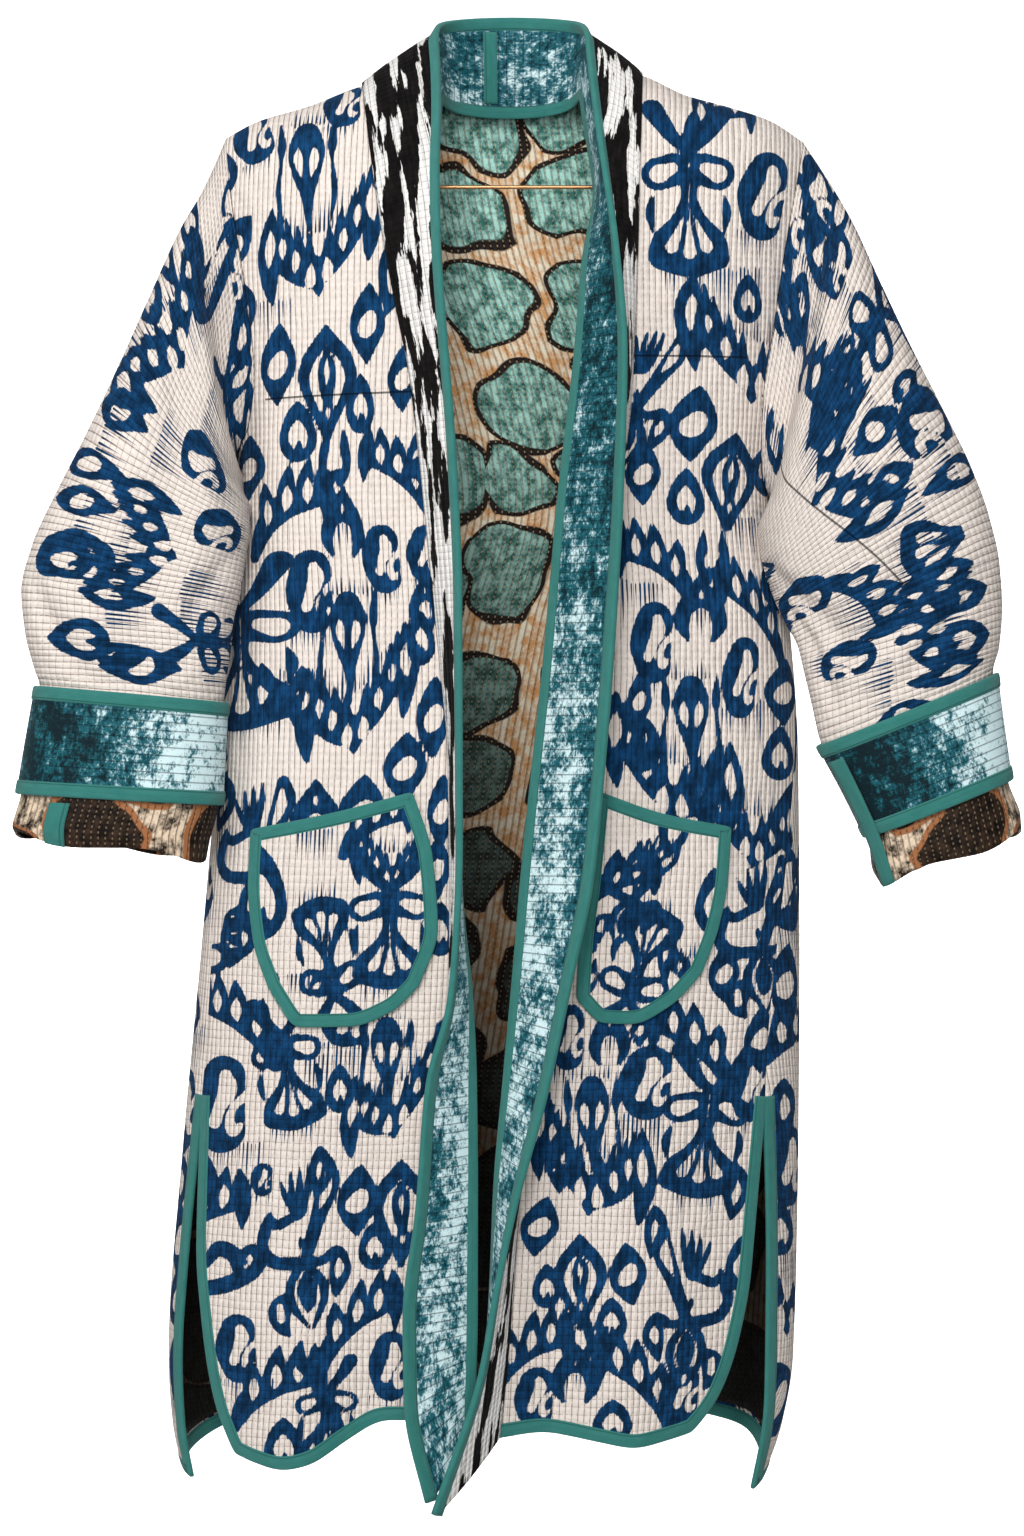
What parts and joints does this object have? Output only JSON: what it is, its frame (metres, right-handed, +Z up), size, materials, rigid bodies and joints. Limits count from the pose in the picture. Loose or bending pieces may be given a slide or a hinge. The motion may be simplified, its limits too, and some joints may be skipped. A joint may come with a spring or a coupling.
{
  "type": "open-fronted quilted robe on hanger bar",
  "caption": "Quilted open-fronted robe with wide sleeves, velvet cuffs and patch pockets, its neck and front edged by a band, hanging hollow on a thin wire hanger bar.",
  "frame": {"origin": "middle of the hanger's straight bar, where the object is held", "axes": "+X to the right of someone facing the open front, +Y from the front to the back, +Z up"},
  "size_m": [0.771, 0.2128, 1.1557],
  "materials": {
    "ikat_cotton": "quilted printed cotton, off-white with blue warp-blurred motifs",
    "black_white_ikat": "quilted cotton, white with black warp-blurred flames",
    "teal_velvet": "crushed velvet with a changing sheen",
    "teal_binding": "matt ribbed bias tape, stitched along its edge",
    "printed_lining": "peach printed cotton with rows of running stitches",
    "copper_wire": "bright copper-coloured wire"
  },
  "bodies": {
    "root": {"back": "ikat_cotton", "front_left": "ikat_cotton", "front_right": "ikat_cotton", "sleeve_left": "ikat_cotton", "sleeve_right": "ikat_cotton", "pocket_left": "ikat_cotton", "pocket_right": "ikat_cotton", "front_band": "black_white_ikat", "band_facing": "teal_velvet", "cuff_left": "teal_velvet", "cuff_right": "teal_velvet", "edge_binding": "teal_binding", "facing_binding": "teal_binding", "hem_binding_back": "teal_binding", "hem_binding_left": "teal_binding", "hem_binding_right": "teal_binding", "neck_strip": "teal_binding", "pocket_binding_left": "teal_binding", "pocket_binding_right": "teal_binding", "cuff_upper_binding_left": "teal_binding", "cuff_upper_binding_right": "teal_binding", "cuff_lower_binding_left": "teal_binding", "cuff_lower_binding_right": "teal_binding", "cuff_tab_left": "teal_binding", "cuff_tab_right": "teal_binding", "lining_back": "printed_lining", "sleeve_end_left": "printed_lining", "sleeve_end_right": "printed_lining", "hanger_bar": "copper_wire"}
  },
  "joints": []
}
